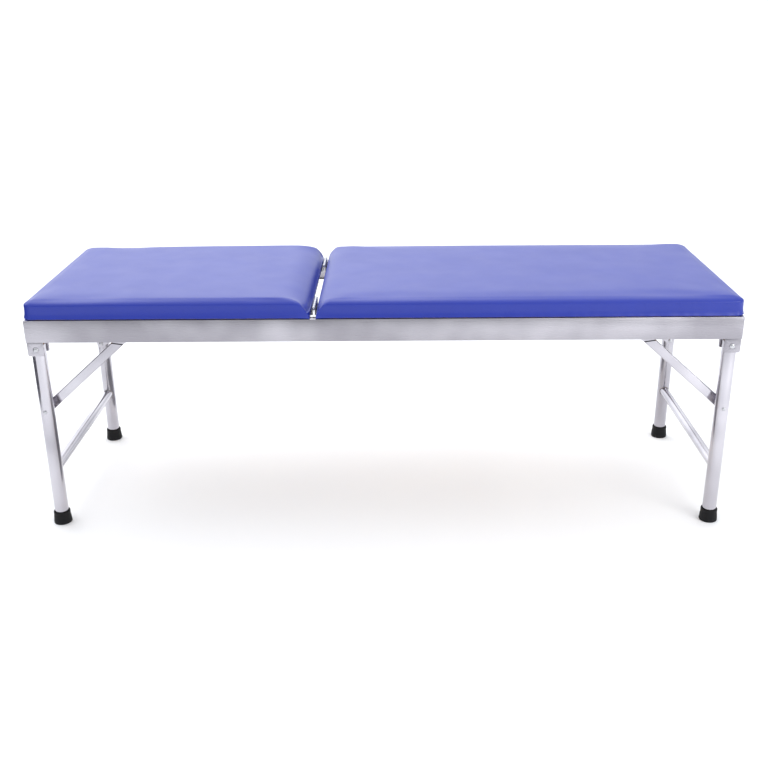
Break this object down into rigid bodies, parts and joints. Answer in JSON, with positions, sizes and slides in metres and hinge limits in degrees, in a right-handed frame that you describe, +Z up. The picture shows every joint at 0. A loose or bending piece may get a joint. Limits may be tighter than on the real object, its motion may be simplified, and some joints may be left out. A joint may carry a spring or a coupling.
{
  "type": "examination couch",
  "caption": "Free-standing examination couch with a padded seat section, a tilting padded backrest, a stainless steel frame and leg frames that fold flat underneath.",
  "frame": {"origin": "on the floor, under the middle of the couch", "axes": "+X along the couch towards the foot end (the backrest is at -X), +Y towards the rear long side, +Z up"},
  "size_m": [1.9, 0.623, 0.663],
  "materials": {
    "stainless_steel": "satin",
    "zinc_steel": "satin",
    "black_rubber": "matte",
    "plywood": "matte",
    "blue_vinyl": "satin"
  },
  "bodies": {
    "frame": {"front_rail": "stainless_steel", "rear_rail": "stainless_steel", "head_end_rail": "stainless_steel", "foot_end_rail": "stainless_steel", "head_cross_tube": "stainless_steel", "backrest_cross_tube": "stainless_steel", "hinge_cross_tube": "stainless_steel", "seat_cross_tube": "stainless_steel", "foot_cross_tube": "stainless_steel", "head_front_leg_bracket": "stainless_steel", "head_front_leg_pivot_bolt": "zinc_steel", "head_front_brace_guide": "stainless_steel", "head_rear_leg_bracket": "stainless_steel", "head_rear_leg_pivot_bolt": "zinc_steel", "head_rear_brace_guide": "stainless_steel", "foot_front_leg_bracket": "stainless_steel", "foot_front_leg_pivot_bolt": "zinc_steel", "foot_front_brace_guide": "stainless_steel", "foot_rear_leg_bracket": "stainless_steel", "foot_rear_leg_pivot_bolt": "zinc_steel", "foot_rear_brace_guide": "stainless_steel", "seat_board": "plywood", "seat_pad": "blue_vinyl", "front_hinge_seat_leaf": "zinc_steel", "front_hinge_pin": "zinc_steel", "rear_hinge_seat_leaf": "zinc_steel", "rear_hinge_pin": "zinc_steel", "stay_pivot_rod": "zinc_steel"},
    "backrest": {"backrest_board": "plywood", "backrest_pad": "blue_vinyl", "front_hinge_backrest_leaf": "zinc_steel", "front_stay_lug": "zinc_steel", "rear_hinge_backrest_leaf": "zinc_steel", "rear_stay_lug": "zinc_steel"},
    "front_stay_sleeve": {"front_stay_sleeve": "zinc_steel"},
    "front_stay_bar": {"front_stay_ratchet_bar": "zinc_steel"},
    "rear_stay_sleeve": {"rear_stay_sleeve": "zinc_steel"},
    "rear_stay_bar": {"rear_stay_ratchet_bar": "zinc_steel"},
    "head_legs": {"head_front_leg": "stainless_steel", "head_front_foot_ferrule": "black_rubber", "head_front_brace_rivet": "zinc_steel", "head_rear_leg": "stainless_steel", "head_rear_foot_ferrule": "black_rubber", "head_rear_brace_rivet": "zinc_steel", "head_leg_crossbar": "stainless_steel"},
    "head_front_brace": {"head_front_brace": "stainless_steel"},
    "head_front_guide_pin": {"head_front_guide_pin": "zinc_steel"},
    "head_rear_brace": {"head_rear_brace": "stainless_steel"},
    "head_rear_guide_pin": {"head_rear_guide_pin": "zinc_steel"},
    "foot_legs": {"foot_front_leg": "stainless_steel", "foot_front_foot_ferrule": "black_rubber", "foot_front_brace_rivet": "zinc_steel", "foot_rear_leg": "stainless_steel", "foot_rear_foot_ferrule": "black_rubber", "foot_rear_brace_rivet": "zinc_steel", "foot_leg_crossbar": "stainless_steel"},
    "foot_front_brace": {"foot_front_brace": "stainless_steel"},
    "foot_front_guide_pin": {"foot_front_guide_pin": "zinc_steel"},
    "foot_rear_brace": {"foot_rear_brace": "stainless_steel"},
    "foot_rear_guide_pin": {"foot_rear_guide_pin": "zinc_steel"}
  },
  "joints": [
    {"name": "backrest_tilt", "type": "hinge", "parent": "frame", "child": "backrest", "pos_m": [-0.183, 0, 0.627], "axis": [0, 1, 0], "range_deg": [0, 50]},
    {"name": "front_stay_swing", "type": "hinge", "parent": "frame", "child": "front_stay_sleeve", "pos_m": [-0.392, -0.2, 0.588], "axis": [0, 1, 0], "range_deg": [0, 69.6]},
    {"name": "front_stay_extend", "type": "slide", "parent": "front_stay_sleeve", "child": "front_stay_bar", "axis": [-0.9994, 0, 0.0343], "range_m": [0, 0.1342]},
    {"name": "rear_stay_swing", "type": "hinge", "parent": "frame", "child": "rear_stay_sleeve", "pos_m": [-0.392, 0.2, 0.588], "axis": [0, 1, 0], "range_deg": [0, 69.6]},
    {"name": "rear_stay_extend", "type": "slide", "parent": "rear_stay_sleeve", "child": "rear_stay_bar", "axis": [-0.9994, 0, 0.0343], "range_m": [0, 0.1342]},
    {"name": "head_leg_fold", "type": "hinge", "parent": "frame", "child": "head_legs", "pos_m": [-0.9225, 0, 0.53], "axis": [0, -1, 0], "range_deg": [0, 89.5]},
    {"name": "head_front_brace_swing", "type": "hinge", "parent": "head_legs", "child": "head_front_brace", "pos_m": [-0.9225, -0.2595, 0.348], "axis": [0, -1, 0], "range_deg": [-122.6, 0]},
    {"name": "head_front_guide_slide", "type": "slide", "parent": "frame", "child": "head_front_guide_pin", "axis": [1, 0, 0], "range_m": [0, 0.2663]},
    {"name": "head_rear_brace_swing", "type": "hinge", "parent": "head_legs", "child": "head_rear_brace", "pos_m": [-0.9225, 0.2595, 0.348], "axis": [0, -1, 0], "range_deg": [-122.6, 0]},
    {"name": "head_rear_guide_slide", "type": "slide", "parent": "frame", "child": "head_rear_guide_pin", "axis": [1, 0, 0], "range_m": [0, 0.2663]},
    {"name": "foot_leg_fold", "type": "hinge", "parent": "frame", "child": "foot_legs", "pos_m": [0.9225, 0, 0.53], "axis": [0, 1, 0], "range_deg": [0, 89.5]},
    {"name": "foot_front_brace_swing", "type": "hinge", "parent": "foot_legs", "child": "foot_front_brace", "pos_m": [0.9225, -0.2595, 0.348], "axis": [0, 1, 0], "range_deg": [-122.6, 0]},
    {"name": "foot_front_guide_slide", "type": "slide", "parent": "frame", "child": "foot_front_guide_pin", "axis": [-1, 0, 0], "range_m": [0, 0.2663]},
    {"name": "foot_rear_brace_swing", "type": "hinge", "parent": "foot_legs", "child": "foot_rear_brace", "pos_m": [0.9225, 0.2595, 0.348], "axis": [0, 1, 0], "range_deg": [-122.6, 0]},
    {"name": "foot_rear_guide_slide", "type": "slide", "parent": "frame", "child": "foot_rear_guide_pin", "axis": [-1, 0, 0], "range_m": [0, 0.2663]}
  ],
  "couplings": [
    {"joint": "front_stay_swing", "follows": "backrest_tilt", "ratio": 1.3916},
    {"joint": "front_stay_extend", "follows": "backrest_tilt", "m_per_rad": 0.15364},
    {"joint": "rear_stay_swing", "follows": "backrest_tilt", "ratio": 1.3916},
    {"joint": "rear_stay_extend", "follows": "backrest_tilt", "m_per_rad": 0.15364},
    {"joint": "head_front_brace_swing", "follows": "head_leg_fold", "ratio": -1.3698},
    {"joint": "head_front_guide_slide", "follows": "head_leg_fold", "m_per_rad": 0.17044},
    {"joint": "head_rear_brace_swing", "follows": "head_leg_fold", "ratio": -1.3698},
    {"joint": "head_rear_guide_slide", "follows": "head_leg_fold", "m_per_rad": 0.17044},
    {"joint": "foot_front_brace_swing", "follows": "foot_leg_fold", "ratio": -1.3698},
    {"joint": "foot_front_guide_slide", "follows": "foot_leg_fold", "m_per_rad": 0.17044},
    {"joint": "foot_rear_brace_swing", "follows": "foot_leg_fold", "ratio": -1.3698},
    {"joint": "foot_rear_guide_slide", "follows": "foot_leg_fold", "m_per_rad": 0.17044}
  ]
}
